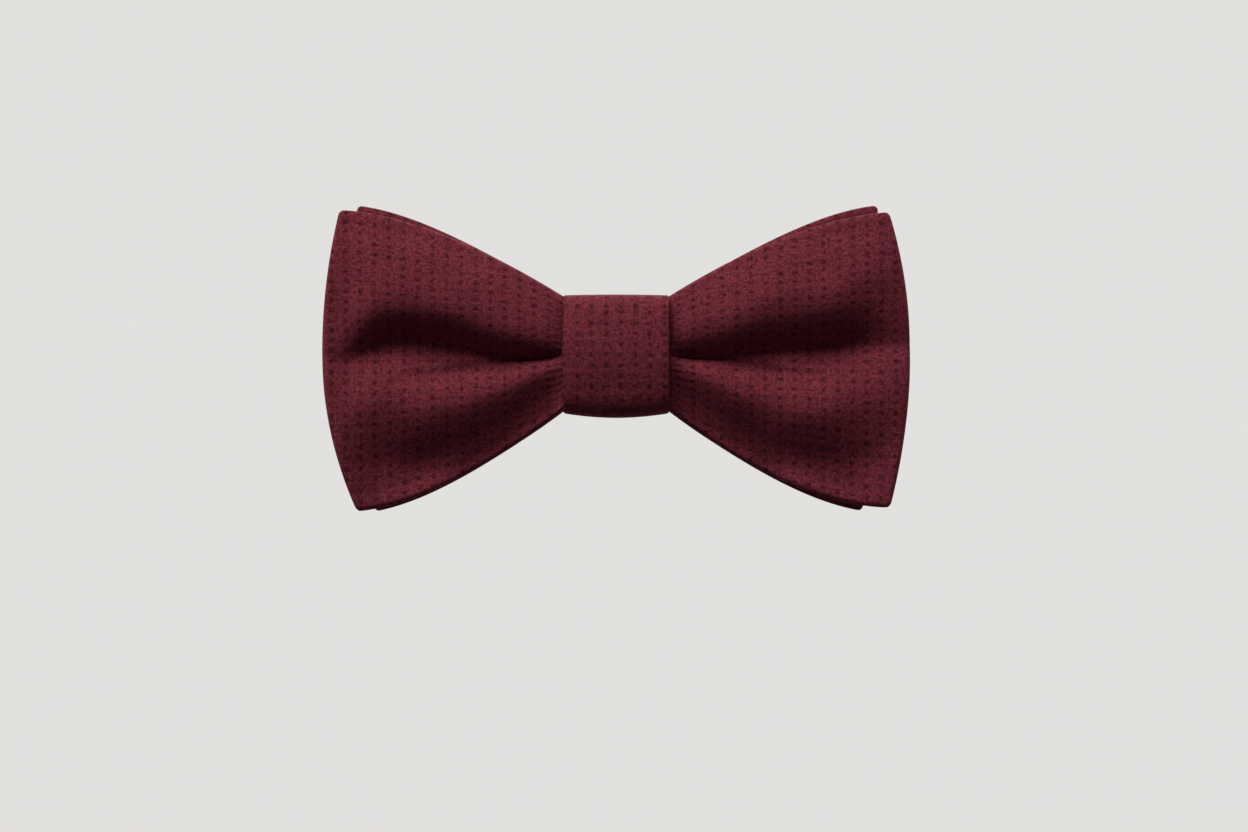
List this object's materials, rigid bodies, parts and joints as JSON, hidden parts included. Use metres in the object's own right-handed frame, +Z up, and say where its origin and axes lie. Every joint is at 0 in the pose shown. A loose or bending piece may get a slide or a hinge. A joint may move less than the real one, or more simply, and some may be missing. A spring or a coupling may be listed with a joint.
{
  "type": "bow tie",
  "caption": "Pre-tied bow tie: a double bow gathered in a flat knot, on a neck band that opens, with an adjuster slide and a hook and eye at the back.",
  "frame": {"origin": "centre of the neck loop (the wearer's neck axis) at the band's mid height, which is also the knot's mid height", "axes": "+Z up along the neck, the bow faces -Y, +X to the right of a person who looks at the bow"},
  "size_m": [0.12, 0.1356, 0.062],
  "materials": {
    "burgundy_cloth": "matte dobby weave",
    "interlining": "matte canvas",
    "sewing_thread": "matte thread",
    "nickel_plate": "polished nickel plate"
  },
  "bodies": {
    "bow": {"front_bow_face": "burgundy_cloth", "front_bow_interlining": "interlining", "front_bow_back": "burgundy_cloth", "rear_bow_face": "burgundy_cloth", "rear_bow_interlining": "interlining", "rear_bow_back": "burgundy_cloth", "knot_wrap": "burgundy_cloth", "knot_interlining": "interlining", "knot_seam_stitches": "sewing_thread", "gathering_thread": "sewing_thread", "band_centre_sleeve": "burgundy_cloth", "band_centre_interlining": "interlining"},
    "band_right_front": {"band_right_front_sleeve": "burgundy_cloth", "band_right_front_interlining": "interlining"},
    "band_right_side": {"band_right_side_sleeve": "burgundy_cloth", "band_right_side_interlining": "interlining"},
    "band_right_back": {"band_right_back_sleeve": "burgundy_cloth", "band_right_back_interlining": "interlining", "band_tail_sleeve": "burgundy_cloth", "band_tail_interlining": "interlining"},
    "slide_adjuster": {"slide": "nickel_plate", "slide_loop": "burgundy_cloth", "slide_loop_stitches": "sewing_thread"},
    "hook": {"hook": "nickel_plate"},
    "band_left_front": {"band_left_front_sleeve": "burgundy_cloth", "band_left_front_interlining": "interlining"},
    "band_left_side": {"band_left_side_sleeve": "burgundy_cloth", "band_left_side_interlining": "interlining"},
    "band_left_back": {"band_left_back_sleeve": "burgundy_cloth", "band_left_back_interlining": "interlining", "eye_tack_stitches": "sewing_thread"},
    "eye": {"eye": "nickel_plate"}
  },
  "joints": [
    {"name": "right_band_open", "type": "hinge", "parent": "bow", "child": "band_right_front", "pos_m": [0.02793, -0.05253, 0], "axis": [0, 0, -1], "range_deg": [0, 42], "stiffness_Nm_per_rad": 0.004},
    {"name": "right_side_flex", "type": "hinge", "parent": "band_right_front", "child": "band_right_side", "pos_m": [0.05591, -0.02035, 0], "axis": [0, 0, -1], "range_deg": [0, 42], "stiffness_Nm_per_rad": 0.004},
    {"name": "right_back_flex", "type": "hinge", "parent": "band_right_side", "child": "band_right_back", "pos_m": [0.05517, 0.02229, 0], "axis": [0, 0, -1], "range_deg": [0, 42], "stiffness_Nm_per_rad": 0.004},
    {"name": "slide_travel", "type": "hinge", "parent": "band_right_back", "child": "slide_adjuster", "pos_m": [0, 0, 0], "axis": [0, 0, 1], "range_deg": [-6, 18], "deforming": ["band_tail_sleeve", "band_tail_interlining"]},
    {"name": "hook_pivot", "type": "hinge", "parent": "band_right_back", "child": "hook", "pos_m": [0.0105, 0.05958, 0], "axis": [0, 0, -1], "range_deg": [0, 70]},
    {"name": "left_band_open", "type": "hinge", "parent": "bow", "child": "band_left_front", "pos_m": [-0.02793, -0.05253, 0], "axis": [0, 0, 1], "range_deg": [0, 42], "stiffness_Nm_per_rad": 0.004},
    {"name": "left_side_flex", "type": "hinge", "parent": "band_left_front", "child": "band_left_side", "pos_m": [-0.05591, -0.02035, 0], "axis": [0, 0, 1], "range_deg": [0, 42], "stiffness_Nm_per_rad": 0.004},
    {"name": "left_back_flex", "type": "hinge", "parent": "band_left_side", "child": "band_left_back", "pos_m": [-0.05517, 0.02229, 0], "axis": [0, 0, 1], "range_deg": [0, 42], "stiffness_Nm_per_rad": 0.004},
    {"name": "eye_pivot", "type": "hinge", "parent": "band_left_back", "child": "eye", "pos_m": [-0.0105, 0.05958, 0], "axis": [0, 0, 1], "range_deg": [0, 70]}
  ],
  "couplings": [
    {"joint": "right_side_flex", "follows": "right_band_open", "ratio": 1},
    {"joint": "right_back_flex", "follows": "right_band_open", "ratio": 1},
    {"joint": "left_side_flex", "follows": "left_band_open", "ratio": 1},
    {"joint": "left_back_flex", "follows": "left_band_open", "ratio": 1}
  ]
}
